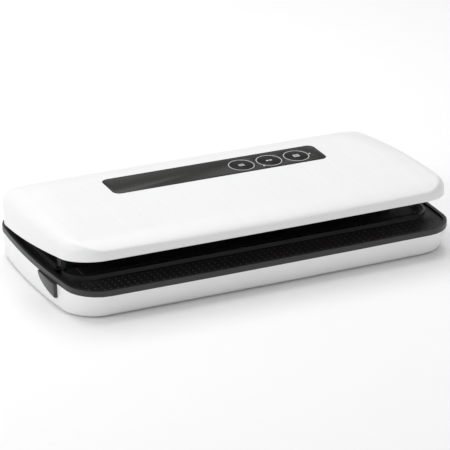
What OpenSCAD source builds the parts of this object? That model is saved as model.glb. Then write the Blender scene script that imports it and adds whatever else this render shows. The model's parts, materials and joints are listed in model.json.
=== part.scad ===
// Countertop vacuum sealer for 30 cm film: a low base with a dark sealing tray and a
// crowned lid that carries the controls, the pump and the upper half of the vacuum chamber.
// Frame: +X to the right, -Y to the front, +Z up, origin on the table under the middle.
// Everything on the lid is laid out closed and then tipped back by lid_open about the hinge.

/* [Body] */
// Overall width of the base
body_w = 374; // [312:1:449]
// Overall depth of the base
body_d = 203; // [190:1:245]
// Height of the light lower housing above the table
base_h = 23.5; // [22.5:0.5:28]
// Plan radius of the corners
corner_r = 27; // [20:1:32]
// How far the corners sit in from the middle of each side
side_bow = 6.9; // [3:0.1:8]
// How far the corners sit in from the middle of the front
front_bow = 1.8; // [0:0.1:3]
// How far the front wall leans in at the bottom
front_lean = 11; // [5:1:13]
// How far the rear wall leans in at the bottom
rear_lean = 6; // [2:1:8]
// Wall thickness of the housings
wall = 2.4; // [1.8:0.1:2.8]

/* [Tray] */
// Height of the dark band round the tray
rim_h = 5.2; // [4.4:0.1:6.4]
// Depth of the front shelf below the top of the band
shelf_drop = 2.2; // [1.4:0.1:2.6]
// Height of the raised island above the shelf
island_h = 3.1; // [2.8:0.1:3.6]
// Depth of the vacuum trough below the island
trough_depth = 12.6; // [8:0.1:13]

/* [Sealing] */
// Length of the heated strip
seal_l = 326; // [250:1:330]
// Width of the heater bar
heater_w = 15.6; // [12:0.1:16]
// Free height of the lower chamber gasket above the island
gasket_h = 2; // [1.6:0.1:2.2]

/* [Lid] */
// Gap between the tray band and the closed lid
lid_gap = 1; // [0.6:0.1:1.6]
// Height of the vertical front wall of the lid
lid_wall_h = 6.7; // [5:0.1:8]
// How far the closed lid stops short of the front of the base
lid_setback = 5.5; // [3:0.1:7]
// Angle at which the lid rests ajar
lid_open = 7.2; // [4:0.1:9]
// Height of the panel centre above the closed edge of the lid
lid_rise = 32.5; // [30:0.1:39]

/* [Controls] */
// Width of the control panel
panel_w = 210.3; // [190:0.1:230]
// Depth of the control panel
panel_d = 33.7; // [32:0.1:36]
// Slope of the control panel and of the lid in front of it
panel_tilt = 10; // [8:0.5:11]
// Radius of the ring round each button
ring_r = 11.6; // [10:0.1:12]
// Distance between button centres
button_pitch = 27.7; // [26:0.1:30]
// Travel of the panel buttons
button_travel = 0.8; // [0.4:0.1:0.8]

/* [Latches] */
// Length of each side release button
release_l = 36; // [30:1:42]
// How far the side buttons stand out beyond the widest part of the base
release_proud = 0.8; // [0.4:0.1:2]
// Inward travel of the side buttons
release_travel = 2.4; // [2:0.1:2.4]
// Outward travel from the free position to the locked one
lock_travel = 1.2; // [0.8:0.1:1.2]

/* [Hinge] */
// Radius of the hinge pins
pin_r = 2; // [1.5:0.1:2.2]
// Running clearance round the hinge pins
pin_fit = 0.05; // [0.02:0.01:0.1]

/* [Hidden] */
$fn = 48;
eps = 0.01;
clear = 0.3;
press_fit = 0.05;
slide_fit = 0.08;
arc_steps = 6;
slice_t = 0.2;

// Heights of the base
foot_gap = 1;
shell_floor = foot_gap + wall;
tray_top = base_h + rim_h;
shelf_z = tray_top - shelf_drop;
shelf_t = 2.2;
skirt_h = 3;
skirt_t = 2;
skirt_front = front_lean*skirt_h/(base_h - foot_gap) + 0.3;
skirt_rear = rear_lean*skirt_h/(base_h - foot_gap) + 0.3;
plate_z = shelf_z - shelf_t;
island_z = shelf_z + island_h;
ridge_h = 0.4;
ridge_w = 2.4;

// Island and trough, half widths and front and rear edges
island_x = body_w/2 - 11;
island_front = -(body_d/2 - 33.5);
island_rear = body_d/2 - 23.5;
island_r = 22;
seal_y = island_front + 15.5;
heater_x = seal_l/2;
trough_x = island_x - 34;
trough_front = seal_y + 28.5;
trough_rear = trough_front + 36;
trough_z = island_z - trough_depth;
gasket_gap = 6;
gasket_w = 6;
gasket_seat = 1.2;
tape_t = 0.2;
element_t = 0.25;
heater_wall = 2.1;
heater_end = 3;

// Lid, laid out closed
lid_z = tray_top + lid_gap;
lid_half_w = body_w/2 + 0.5;
lid_front = -(body_d/2 - lid_setback);
lid_r = corner_r + 1;
panel_y = 14.2;
panel_z = lid_z + lid_rise;
end_slope = 22;
end_rise = 0.09;
edge_run = 14;
edge_h = 9;
crown_r = 75;
tail_r = 22;
tail_angle = 31;
nose_run = 23;
tail_lift = 6.8;
crown_y = panel_y + panel_d/2 + 1;
crown_z = panel_z + (crown_y - panel_y)*tan(panel_tilt);
nose_z = panel_z + (lid_front + nose_run - panel_y)*tan(panel_tilt);
nose_h = nose_z - lid_z - lid_wall_h;
lid_rear = crown_y + crown_r*(sin(panel_tilt) + sin(tail_angle)) + tail_r*(1 - sin(tail_angle));
liner_z = island_z + 4;
liner_t = 2.4;
chamber_h = 8.4;

// Hinge
hinge_y = lid_rear - 4.2;
hinge_z = tray_top + 2.3;
knuckle_r = pin_r + 1.4;
knuckle_x = 100;
knuckle_w = 8;
ear_w = 5.7;
ear_gap = 0.3;
ear_in = knuckle_x - knuckle_w/2 - ear_gap - ear_w;
ear_out = knuckle_x + knuckle_w/2 + ear_gap;

// Side latches
release_front = -(body_d/2 - 45.9);
release_top = base_h - 0.4;
release_drop = 12.4;
flange_lip = 1.5;
latch_y = release_front + 17;
claw_w = 8;
claw_t = 3;
claw_x = body_w/2 - 11.5;
barb = lock_travel + 0.4;
slot_gap = 2.6;
barb_z = base_h - 3.8;
claw_tip_z = barb_z - 4.7;
latch_t = 2.6;
latch_half = 12.5;
guide_t = 1.6;
latch_z = barb_z + clear;
latch_in = body_w/2 - 27;
flange_x = claw_x + release_travel + clear;
flange_t = 1.5;
spring_post_x = latch_in - 12;

// Screws and feet, spread in step with the overall size
span = body_w/374;
reach = body_d/203;
screw_r = 1.1;
head_r = 2.8;
boss_r = 3.6;
boss_top = 12;
base_screw_xy = [for (x = [-110, 0, 110]) for (y = [-76, 80]) [x*span, y*reach]];
lid_screw_xy = [for (x = [-120, 0, 120]) [x*span, -72*reach], for (s = [-1, 1]) [s*130*span, 60]];
foot_xy = [for (x = [-150, 150]) for (y = [-72, 78]) [x*span, y*reach]];

// Feet, vents, board, switch and cord bushing in the base
foot_r = 9;
vent_x = -30;
board_z = 8;
board_t = 1.6;
post_r = 2.5;
core_x = -80;
core_w = 56;
core_d = 44;
core_limb = 10;
core_top = 21;
board_x0 = 20;
board_x1 = 104;
board_y0 = trough_rear + 16;
board_y1 = board_y0 + 46;
function board_posts() =
    [for (x = [board_x0 + 5, board_x1 - 5]) for (y = [board_y0 + 5, board_y1 - 5]) [x, y]];
switch_x = 130*span;
switch_y = island_rear - 26;
plunger_r = 2.5;
switch_top = 20;
gland_x = 140*span;
gland_z = 12;
gland_r = 5.5;
gland_bore = 3.2;

// Vacuum chamber and air port in the lid
chamber_x = trough_x + 1;
chamber_front = trough_front - 4;
chamber_rear = trough_rear + 4;
chamber_t = 2;
port_x = -70;
port_z = liner_z + liner_t + 3;

// Keys and lights on the panel
button_x = [for (i = [-1:1]) 52.6 + i*button_pitch];
button_y = -1.2;
light_angle = [225, 0];
board_drop = -4.6;
panel_t = 2;
ring_edge = 0.4;
light_r = 0.9;

// Pump and release valve
pump_y = 58;
pump_z = liner_z + liner_t + 11.5;
motor_r = 10;
pump_x = port_x;
pump_w = 24;
cavity_r = 8;
shaft_r = 1.5;
valve_x = -40;
valve_y = trough_front + 10;
valve_z = liner_z + chamber_h + chamber_t;

// Points on the ring of a rounded rectangle: one corner arc, then one straight side
function corner(q, w, d, r) = let (sx = [1, -1, -1, 1][q], sy = [1, 1, -1, -1][q])
    [for (i = [0:arc_steps]) let (a = 90*q + 90*i/arc_steps)
        [sx*(w/2 - r) + r*cos(a), sy*(d/2 - r) + r*sin(a)]];
function side(a, b, n) = [for (i = [1:n - 1]) a + (b - a)*i/n];
function bend(p, w, d) = [p.x*(1 - 2*side_bow/w*pow(2*p.y/d, 2)), p.y*(1 - 2*front_bow/d*pow(2*p.x/w, 2))];
function ring(w, d, r) = [for (q = [0:3])
    let (c = corner(q, w, d, r), next = corner((q + 1) % 4, w, d, r))
    each [for (p = concat(c, side(c[arc_steps], next[0], q % 2 == 0 ? 12 : 8))) bend(p, w, d)]];

// Plan of the base, drawn in by inset all round and by front and rear at those sides
module plan(inset = 0, front = 0, rear = 0) {
    translate([0, (front - rear)/2])
        polygon(ring(body_w - 2*inset, body_d - 2*inset - front - rear, max(corner_r - inset, 2)));
}

// Plan of the lid, drawn in by inset all round
module lid_plan(inset = 0) {
    translate([0, (lid_front + lid_rear)/2])
        polygon(ring(2*(lid_half_w - inset), lid_rear - lid_front - 2*inset, max(lid_r - inset, 2)));
}

// Rounded rectangle between two opposite corners
module rounded(x0, y0, x1, y1, r) {
    hull()
        for (x = [x0 + r, x1 - r])
            for (y = [y0 + r, y1 - r])
                translate([x, y])
                    circle(r);
}

// Upright slab of a flat shape from z0 to z1
module slab(z0, z1) {
    translate([0, 0, z0])
        linear_extrude(z1 - z0)
            children();
}

module block(x0, y0, z0, x1, y1, z1) {
    translate([x0, y0, z0])
        cube([x1 - x0, y1 - y0, z1 - z0]);
}

module both_sides() {
    children();
    mirror([1, 0, 0])
        children();
}

// Puts a closed-lid shape where the lid rests ajar
module ajar() {
    translate([0, hinge_y, hinge_z])
        rotate([-lid_open, 0, 0])
            translate([0, -hinge_y, -hinge_z])
                children();
}

// Frame of the control panel: origin at its middle, z square to its face
module on_panel() {
    ajar()
        translate([0, panel_y, panel_z])
            rotate([panel_tilt, 0, 0])
                children();
}

// Coil spring along +Z, drawn as closed turns joined along one side
module coil(mean_r, wire_r, length, turns) {
    pitch = (length - 2*wire_r)/(turns - 1);
    for (i = [0:turns - 1])
        translate([0, 0, wire_r + i*pitch])
            rotate_extrude()
                translate([mean_r, 0])
                    circle(wire_r, $fn = 24);
    translate([mean_r, 0, wire_r])
        cylinder(h = length - 2*wire_r, r = wire_r*0.9);
}

// ---- Base ----

module base_outer() {
    hull() {
        slab(foot_gap, foot_gap + eps)
            plan(2.5, front_lean - 1, rear_lean - 1);
        slab(foot_gap + 1, foot_gap + 1 + eps)
            plan(0.8, front_lean - 1, rear_lean - 1);
        slab(foot_gap + 3, foot_gap + 3 + eps)
            plan(0, front_lean - 1.6, rear_lean - 1);
        slab(base_h - eps, base_h)
            plan();
    }
}

module base_inner() {
    hull() {
        slab(shell_floor, shell_floor + eps)
            plan(wall + 1, front_lean - 1, rear_lean - 1);
        slab(base_h, base_h + 1)
            plan(wall);
    }
}

// Outline of a side button seen from the side, in the YZ plane, grown by g
module release_shape(g = 0) {
    a = release_l + g;
    b = release_drop + g;
    polygon(concat(
        [[release_front - g, release_top + g], [release_front + a, release_top + g]],
        [for (i = [0:16]) [release_front + a*cos(90*i/16), release_top - b*sin(90*i/16)]],
        [[release_front - g, release_top - b]]
    ));
}

module release_prism(x0, x1, g = 0) {
    translate([x0, 0, 0])
        rotate([90, 0, 90])
            linear_extrude(x1 - x0)
                release_shape(g);
}

module base_shell() {
    color("whitesmoke")
    difference() {
        union() {
            difference() {
                base_outer();
                base_inner();
            }
            intersection() {
                base_outer();
                union() {
                    for (p = base_screw_xy)
                        translate([p.x, p.y, foot_gap + 1])
                            cylinder(h = boss_top - foot_gap - 1, r = boss_r);
                    for (p = board_posts())
                        translate([p.x, p.y, foot_gap + 1])
                            cylinder(h = board_z - foot_gap - 1, r = post_r);
                    gland_pad();
                    both_sides()
                        latch_guides();
                }
            }
        }
        for (p = base_screw_xy)
            translate([p.x, p.y, 0]) {
                cylinder(h = boss_top + 1, r = screw_r + 0.3);
                cylinder(h = foot_gap + 2.6, r = head_r + clear);
            }
        for (p = foot_xy)
            translate([p.x, p.y, 0])
                cylinder(h = foot_gap + 0.8, r = foot_r + press_fit);
        both_sides()
            release_prism(claw_x, body_w, 0.5);
        translate([gland_x, body_d/2 - 15, gland_z])
            rotate([-90, 0, 0])
                cylinder(h = 20, r = gland_r + press_fit);
        translate([gland_x, body_d/2 - 5, gland_z])
            rotate([-90, 0, 0])
                cylinder(h = 20, r = gland_r + 2.5);
        for (i = [-4:4])
            block(i*7 + vent_x - 1.2, 34, 0, i*7 + vent_x + 1.2, 62, shell_floor + 1);
    }
}

module latch_guides() {
    top = latch_z + latch_t + 0.4;
    for (y = [latch_y - latch_half - clear - guide_t, latch_y + latch_half + clear])
        block(latch_in, y, foot_gap + 1, claw_x - 1, y + guide_t, top);
    block(spring_post_x - 3, latch_y - 4, foot_gap + 1, spring_post_x, latch_y + 4, top);
}

module rubber_feet() {
    color("dimgray")
    for (p = foot_xy)
        translate([p.x, p.y, 0]) {
            cylinder(h = foot_gap + 0.8, r = foot_r);
        }
}

module base_screws() {
    color("silver")
    for (p = base_screw_xy)
        translate([p.x, p.y, foot_gap + 0.4])
            pan_screw(16);
}

// Screw with its head down
module pan_screw(length) {
    difference() {
        cylinder(h = 2, r = head_r);
        translate([0, 0, -eps])
            cylinder(h = 1.2, r = 1.3, $fn = 6);
    }
    cylinder(h = length, r = screw_r);
}

module tray_screw_posts() {
    for (p = base_screw_xy)
        translate([p.x, p.y, boss_top])
            cylinder(h = plate_z - boss_top + 1, r = boss_r - 0.4);
}

module hinge_ear(x) {
    translate([x, hinge_y, hinge_z])
        rotate([0, 90, 0])
            cylinder(h = ear_w, r = knuckle_r);
    block(x, hinge_y - knuckle_r, plate_z + 0.1, x + ear_w, hinge_y + knuckle_r, hinge_z);
}

module base_tray() {
    color([0.14, 0.14, 0.15])
    difference() {
        union() {
            difference() {
                union() {
                    slab(base_h, tray_top)
                        plan();
                    slab(base_h - skirt_h, base_h + eps)
                        plan(wall + clear, skirt_front, skirt_rear);
                }
                slab(shelf_z, tray_top + 1)
                    plan(3);
                slab(0, plate_z)
                    plan(wall + clear + skirt_t, skirt_front, skirt_rear);
            }
            slab(shelf_z - 0.1, island_z)
                rounded(-island_x, island_front, island_x, island_rear, island_r);
            slab(island_z - 0.1, island_z + ridge_h)
                difference() {
                    rounded(-island_x, island_front, island_x, island_rear, island_r);
                    rounded(-island_x + ridge_w, island_front + ridge_w, island_x - ridge_w,
                        island_rear - ridge_w, island_r - ridge_w);
                }
            block(-heater_x - heater_end, seal_y - heater_w/2 - heater_wall, plate_z - 1.1,
                heater_x + heater_end, seal_y + heater_w/2 + heater_wall, island_z - 0.1);
            block(-trough_x - 2, trough_front - 2, trough_z - 2,
                trough_x + 2, trough_rear + 2, island_z - 0.1);
            tray_screw_posts();
            both_sides() {
                hinge_ear(ear_in);
                hinge_ear(ear_out);
            }
        }
        island_pockets();
        block(-heater_x - 0.4, seal_y - heater_w/2 - 0.1, plate_z + 0.9,
            heater_x + 0.4, seal_y + heater_w/2 + 0.1, island_z + 2);
        slab(trough_z, island_z + 1)
            rounded(-trough_x, trough_front, trough_x, trough_rear, 6);
        slab(island_z - gasket_seat, island_z + 1)
            gasket_ring(press_fit);
        both_sides() {
            block(claw_x - claw_t - barb - slot_gap, latch_y - claw_w/2 - slot_gap, 10,
                claw_x + slot_gap, latch_y + claw_w/2 + slot_gap, island_z + 2);
            block(flange_x - release_travel - 0.6, release_front - 2, 0,
                body_w, release_front + release_l + 2, base_h);
        }
        translate([switch_x, switch_y, 0])
            cylinder(h = island_z + 2, r = plunger_r + slide_fit);
        for (p = base_screw_xy)
            translate([p.x, p.y, boss_top - 1])
                cylinder(h = 8, r = screw_r);
        translate([-body_w/2, hinge_y, hinge_z])
            rotate([0, 90, 0])
                cylinder(h = body_w, r = pin_r + 0.02);
        for (i = [-1, 1])
            translate([i*trough_x*0.6, trough_rear - 1, trough_z + 5])
                rotate([-90, 0, 0])
                    cylinder(h = 4, r = 1.5);
    }
}

// Hollows under the island, in front of and behind the trough and at its ends
module island_pockets() {
    pocket_top = island_z - shelf_t;
    difference() {
        slab(plate_z - 1, pocket_top)
            rounded(-island_x + 2.2, island_front + 2.2, island_x - 2.2, island_rear - 2.2, island_r - 2.2);
        block(-heater_x - heater_end, seal_y - heater_w/2 - heater_wall, 0,
            heater_x + heater_end, seal_y + heater_w/2 + heater_wall, island_z);
        block(-trough_x - 2, trough_front - 2, 0, trough_x + 2, trough_rear + 2, island_z);
        for (p = base_screw_xy)
            translate([p.x, p.y, 0])
                cylinder(h = island_z, r = boss_r - 0.4);
    }
}

module gasket_ring(g = 0) {
    difference() {
        rounded(-trough_x - gasket_gap - gasket_w - g, trough_front - gasket_gap - gasket_w - g,
            trough_x + gasket_gap + gasket_w + g, trough_rear + gasket_gap + gasket_w + g, 13 + g);
        rounded(-trough_x - gasket_gap + g, trough_front - gasket_gap + g,
            trough_x + gasket_gap - g, trough_rear + gasket_gap - g, 7 - g);
    }
}

module lower_gasket() {
    color([0.2, 0.2, 0.2])
    slab(island_z - gasket_seat, island_z + gasket_h)
        gasket_ring();
}

module heater_bar() {
    color([0.35, 0.3, 0.26])
    difference() {
        block(-heater_x, seal_y - heater_w/2, plate_z + 0.9, heater_x, seal_y + heater_w/2, island_z);
        block(-heater_x - 1, seal_y - 1.6, island_z - element_t, heater_x + 1, seal_y + 1.6, island_z + 1);
    }
}

module heating_element() {
    color("silver")
    block(-heater_x + 4, seal_y - 1.5, island_z - element_t, heater_x - 4, seal_y + 1.5, island_z);
}

module sealing_tape() {
    color([0.4, 0.33, 0.26])
    block(-heater_x + 1, seal_y - heater_w/2 - 0.6, island_z, heater_x - 1, seal_y + heater_w/2 + 0.6,
        island_z + tape_t);
}

module bag_stops() {
    stop_y = (seal_y + heater_w/2 + trough_front - gasket_gap - gasket_w)/2;
    color([0.2, 0.2, 0.2])
    for (s = [-1, 1])
        translate([s*trough_x*0.72, stop_y, island_z])
            cylinder(h = 3.2, r = 1.8);
}

module trough_filter() {
    color([0.55, 0.55, 0.55])
    for (s = [-1, 1])
        translate([s*trough_x*0.6, trough_rear, trough_z + 5])
            rotate([90, 0, 0])
                difference() {
                    cylinder(h = 2, r = 4);
                    for (a = [0:60:300])
                        rotate(a)
                            translate([2.4, 0, -1])
                                cylinder(h = 4, r = 0.6);
                }
}

module power_board() {
    color("seagreen")
    block(board_x0, board_y0, board_z, board_x1, board_y1, board_z + board_t);
    color("black")
    translate([board_x0 + 20, board_y0 + 14, board_z + board_t - 0.1])
        cylinder(h = 11, r = 6);
    color("royalblue")
    component(34, 8, 18, 14, 10.4);
    color("goldenrod")
    component(60, 26, 12, 8, 9.4);
    color("dimgray")
    component(16, 30, 28, 8, 5.4);
}

// Block-shaped component on the board, x and y from the board's corner, w by d and h tall
module component(x, y, w, d, h) {
    translate([board_x0 + x, board_y0 + y, board_z + board_t - 0.1])
        cube([w, d, h + 0.1]);
}

module transformer() {
    y0 = board_y0 + 2;
    y1 = y0 + core_d;
    x1 = core_x + core_w;
    yoke = core_limb + 2;
    color("slategray")
    difference() {
        block(core_x, y0, shell_floor, x1, y1, core_top);
        block(core_x + core_limb, y0 + yoke, shell_floor - 1, x1 - core_limb, y1 - yoke, core_top + 1);
    }
    color("orange")
    block(core_x + core_limb, y0 + yoke, shell_floor + 1.5, x1 - core_limb, y1 - yoke, core_top + 1.5);
}

module thermal_fuse() {
    color("silver")
    translate([-heater_x + 30, seal_y, plate_z - 3.2])
        rotate([0, 90, 0]) {
            cylinder(h = 14, r = 2);
            translate([0, 0, -10])
                cylinder(h = 34, r = 0.5);
        }
}

module lid_switch() {
    color("black")
    difference() {
        block(switch_x - 10, switch_y - 4, shell_floor, switch_x + 10, switch_y + 4, switch_top);
        translate([switch_x, switch_y, switch_top - 6])
            cylinder(h = 7, r = plunger_r + slide_fit);
    }
}

// Follower that the closing lid pushes down on to the switch
module switch_plunger() {
    color("white")
    translate([switch_x, switch_y, switch_top - 4])
        cylinder(h = island_z + 1.6 - switch_top + 4, r = plunger_r);
}

module gland_pad() {
    block(gland_x - 11, body_d/2 - 10, shell_floor - 1, gland_x + 11, body_d/2 - 2, gland_z + 8);
}

module cord_gland() {
    color("dimgray")
    translate([gland_x, body_d/2 - 13.5, gland_z])
        rotate([-90, 0, 0])
            difference() {
                union() {
                    cylinder(h = 10, r = gland_r);
                    translate([0, 0, 8.5])
                        cylinder(h = 2.4, r = gland_r + 2);
                    cylinder(h = 3.4, r = gland_r + 1.4);
                }
                translate([0, 0, -1])
                    cylinder(h = 14, r = gland_bore);
            }
}

module hinge_pins() {
    color("silver")
    both_sides()
        translate([ear_in - 7, hinge_y, hinge_z])
            rotate([0, 90, 0])
                cylinder(h = ear_out + ear_w - ear_in + 7, r = pin_r);
}

module hinge_springs() {
    color("silver")
    both_sides()
        translate([ear_in - 6.4, hinge_y, hinge_z])
            rotate([0, 90, 0])
                coil(pin_r + 0.8, 0.4, 6, 5);
}

// ---- Side latches ----

module release_button() {
    top_x = body_w/2 + release_proud;
    intersection() {
        release_prism(flange_x + flange_t, top_x, 0);
        translate([top_x - 90, 0, release_top - 2])
            rotate([90, 0, 0])
                translate([0, 0, -body_d])
                    cylinder(h = 2*body_d, r = 90, $fn = 128);
    }
}

module latch_slide() {
    z1 = latch_z + latch_t;
    difference() {
        block(latch_in, latch_y - latch_half, latch_z, flange_x + eps, latch_y + latch_half, z1);
        block(claw_x - claw_t - barb - clear, latch_y - claw_w/2 - 4, latch_z - 1,
            flange_x, latch_y + claw_w/2 + 4, z1 + 1);
    }
    intersection() {
        release_prism(flange_x, flange_x + flange_t, flange_lip);
        block(0, -body_d, 0, body_w, body_d, base_h - 0.2);
    }
}

module latch_spring() {
    translate([spring_post_x + 0.4, latch_y, latch_z + latch_t/2])
        rotate([0, 90, 0])
            coil(1.35, 0.35, latch_in - spring_post_x - 0.8, 6);
}

module right_release_button() {
    color("silver")
    release_button();
}

module left_release_button() {
    color("silver")
    mirror([1, 0, 0])
        release_button();
}

module right_latch() {
    color([0.3, 0.3, 0.3])
    latch_slide();
}

module left_latch() {
    color([0.3, 0.3, 0.3])
    mirror([1, 0, 0])
        latch_slide();
}

module right_latch_spring() {
    color("silver")
    latch_spring();
}

module left_latch_spring() {
    color("silver")
    mirror([1, 0, 0])
        latch_spring();
}

// ---- Lid ----

// Rounded edge of the lid ends where it leans at angle s: distance in and height gained
function edge_turn(s) = atan(edge_h/edge_run/tan(s));
function edge_in(s) = edge_run*(1 - cos(edge_turn(s)));
function edge_up(s) = edge_h*sin(edge_turn(s));

// Thin slab of the lid's plan at height z, lifted towards the rear by end_rise
module rising_slab(z, inset) {
    multmatrix([[1, 0, 0, 0], [0, 1, 0, 0], [0, end_rise, 1, z - slice_t - end_rise*lid_front], [0, 0, 0, 1]])
        linear_extrude(slice_t)
            lid_plan(inset);
}

// Pillow of stacked plans: an upright wall, a rounded edge and a steady slope, all moved in by t
module pillow(t = 0, bottom = lid_z) {
    z_wall = lid_z + lid_wall_h;
    z_far = crown_z - 6;
    run_far = edge_in(end_slope) + (z_far - z_wall - edge_up(end_slope))/tan(end_slope);
    hull() {
        slab(bottom, bottom + slice_t)
            lid_plan(t);
        rising_slab(z_wall, t);
        for (s = [70, 55, 42, 31])
            rising_slab(z_wall + edge_up(s) - t*cos(s), edge_in(s) + t*sin(s));
        rising_slab(z_wall + edge_up(end_slope) - t*cos(end_slope), edge_in(end_slope) + t*sin(end_slope));
        rising_slab(z_far - t*cos(end_slope), run_far + t*sin(end_slope));
    }
}

// Lid seen from the side, in the YZ plane: front wall, nose, slope, crown and tail
module lid_side(bottom = lid_z, lift = tail_lift) {
    z_wall = lid_z + lid_wall_h;
    tail_y = lid_rear - tail_r;
    tail_z = crown_z + crown_r*(cos(tail_angle) - cos(panel_tilt)) - tail_r*cos(tail_angle);
    polygon(concat(
        [[lid_front, bottom]],
        [for (i = [0:10]) [lid_front + nose_run*(1 - cos(9*i)), z_wall + nose_h*sin(9*i)]],
        [for (i = [0:10]) let (a = panel_tilt - (panel_tilt + tail_angle)*i/10)
            [crown_y + crown_r*(sin(panel_tilt) - sin(a)), crown_z + crown_r*(cos(a) - cos(panel_tilt))]],
        [for (i = [1:8]) let (a = tail_angle + (90 - tail_angle)*i/8)
            [tail_y + tail_r*sin(a), tail_z + tail_r*cos(a)]],
        [[lid_rear, bottom + lift], [lid_rear - 10, bottom]]
    ));
}

module side_extrude() {
    translate([-body_w, 0, 0])
        rotate([90, 0, 90])
            linear_extrude(2*body_w)
                children();
}

module lid_outer() {
    intersection() {
        pillow();
        side_extrude()
            lid_side();
    }
}

module lid_inner() {
    intersection() {
        pillow(wall, lid_z - 4);
        side_extrude()
            offset(delta = -wall)
                lid_side(lid_z - 12, 0);
    }
}

module lid_shell() {
    color("white")
    ajar()
    difference() {
        union() {
            difference() {
                lid_outer();
                lid_inner();
            }
            intersection() {
                lid_outer();
                for (p = lid_screw_xy)
                    translate([p.x, p.y, liner_z + liner_t])
                        cylinder(h = 60, r = boss_r);
            }
        }
        for (p = lid_screw_xy)
            translate([p.x, p.y, liner_z])
                cylinder(h = 10.4, r = screw_r);
        translate([0, panel_y, panel_z])
            rotate([panel_tilt, 0, 0]) {
                slab(0.2 - panel_t, 10)
                    rounded(-panel_w/2 - 0.1, -panel_d/2 - 0.1, panel_w/2 + 0.1, panel_d/2 + 0.1, 6.5);
                slab(-9, 10)
                    rounded(-panel_w/2 + 4, -panel_d/2 + 3.4, panel_w/2 - 4, panel_d/2 - 3.4, 4);
            }
    }
}

module lid_liner() {
    z1 = liner_z + liner_t;
    color([0.12, 0.12, 0.13])
    ajar()
    difference() {
        union() {
            intersection() {
                slab(liner_z, z1)
                    lid_plan(wall + clear);
                block(-body_w, -body_d, 0, body_w, hinge_y - knuckle_r - 3, 2*body_d);
            }
            slab(liner_z, liner_z + chamber_h + chamber_t)
                rounded(-chamber_x - chamber_t, chamber_front - chamber_t, chamber_x + chamber_t,
                    chamber_rear + chamber_t, 8);
            both_sides() {
                hinge_knuckle();
                claw();
            }
            translate([switch_x, switch_y, island_z + 1.6 + clear])
                cylinder(h = z1 - island_z - 1.6 - clear, r = 3);
            translate([port_x, chamber_rear, port_z])
                rotate([-90, 0, 0])
                    cylinder(h = 8, r = 2);
        }
        slab(liner_z - 1, liner_z + chamber_h)
            rounded(-chamber_x, chamber_front, chamber_x, chamber_rear, 6);
        translate([port_x, chamber_rear - 1, port_z])
            rotate([-90, 0, 0])
                cylinder(h = 10, r = 1.2);
        translate([valve_x, valve_y, liner_z])
            cylinder(h = 20, r = plunger_r + slide_fit);
        for (p = lid_screw_xy)
            translate([p.x, p.y, liner_z - 1]) {
                cylinder(h = 6, r = screw_r + 0.3);
                cylinder(h = 2, r = head_r + 0.1);
            }
        both_sides()
            translate([ear_in - 10, hinge_y, hinge_z])
                rotate([0, 90, 0])
                    cylinder(h = 40, r = pin_r + pin_fit);
    }
}

module hinge_knuckle() {
    x0 = knuckle_x - knuckle_w/2;
    translate([x0, hinge_y, hinge_z])
        rotate([0, 90, 0])
            cylinder(h = knuckle_w, r = knuckle_r);
    block(x0, hinge_y - knuckle_r, hinge_z, x0 + knuckle_w, hinge_y, liner_z + liner_t);
    block(x0, hinge_y - knuckle_r - 8, liner_z, x0 + knuckle_w, hinge_y - 1, liner_z + liner_t);
}

module claw() {
    translate([0, latch_y + claw_w/2, 0])
        rotate([90, 0, 0])
            linear_extrude(claw_w)
                polygon([
                    [claw_x, liner_z + 1], [claw_x - claw_t, liner_z + 1], [claw_x - claw_t, barb_z],
                    [claw_x - claw_t - barb, barb_z], [claw_x - claw_t - barb, barb_z - 1],
                    [claw_x - claw_t + 1, claw_tip_z], [claw_x, claw_tip_z]
                ]);
}

module upper_gasket() {
    color([0.25, 0.25, 0.25])
    ajar()
        slab(island_z + gasket_h + 0.2, liner_z)
            gasket_ring();
}

module press_holder() {
    color("silver")
    ajar()
        block(-heater_x, seal_y - 6.5, liner_z - 1.2, heater_x, seal_y + 6.5, liner_z);
}

module press_strip() {
    color([0.75, 0.35, 0.25])
    ajar()
        block(-heater_x + 1, seal_y - 5, island_z + 0.7, heater_x - 1, seal_y + 5, liner_z - 1.2);
}

module control_panel() {
    color([0.13, 0.13, 0.13])
    on_panel()
        difference() {
            slab(0.2 - panel_t, 0.2)
                rounded(-panel_w/2, -panel_d/2, panel_w/2, panel_d/2, 6.4);
            for (x = button_x)
                translate([x, button_y, -5])
                    cylinder(h = 10, r = ring_r + ring_edge + press_fit);
            for (i = [0, 1])
                light_place(i)
                    translate([0, 0, -5])
                        cylinder(h = 10, r = light_r + press_fit);
        }
}

module light_place(i) {
    translate([button_x[i + 1], button_y, 0])
        rotate(light_angle[i])
            translate([ring_r + 2, 0, 0])
                children();
}

module button_rings() {
    color("white")
    on_panel()
        for (x = button_x)
            translate([x, button_y, -3])
                difference() {
                    cylinder(h = 3.25, r = ring_r + ring_edge);
                    translate([0, 0, -1])
                        cylinder(h = 6, r = ring_r - ring_edge);
                }
}

module indicator_lights() {
    color("white")
    on_panel()
        for (i = [0, 1])
            light_place(i)
                translate([0, 0, -3.5])
                    cylinder(h = 3.8, r = light_r);
}

// Round key with a stem that reaches down to its switch
module key(i) {
    color([0.08, 0.08, 0.08])
    on_panel()
        translate([button_x[i], button_y, 0]) {
            translate([0, 0, -2.2])
                cylinder(h = 2.5, r = ring_r - ring_edge - clear);
            translate([0, 0, board_drop + 0.15 + button_travel])
                cylinder(h = -board_drop - button_travel - 2, r = 2.5);
        }
}

module seal_button() {
    key(0);
}

module vacuum_button() {
    key(1);
}

module stop_button() {
    key(2);
}

module tact_switches() {
    color("gray")
    on_panel()
        for (x = button_x)
            translate([x, button_y, board_drop]) {
                translate([-3, -3, -3])
                    cube([6, 6, 2.4]);
                translate([0, 0, -1])
                    cylinder(h = 1, r = 1.7);
            }
}

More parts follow.
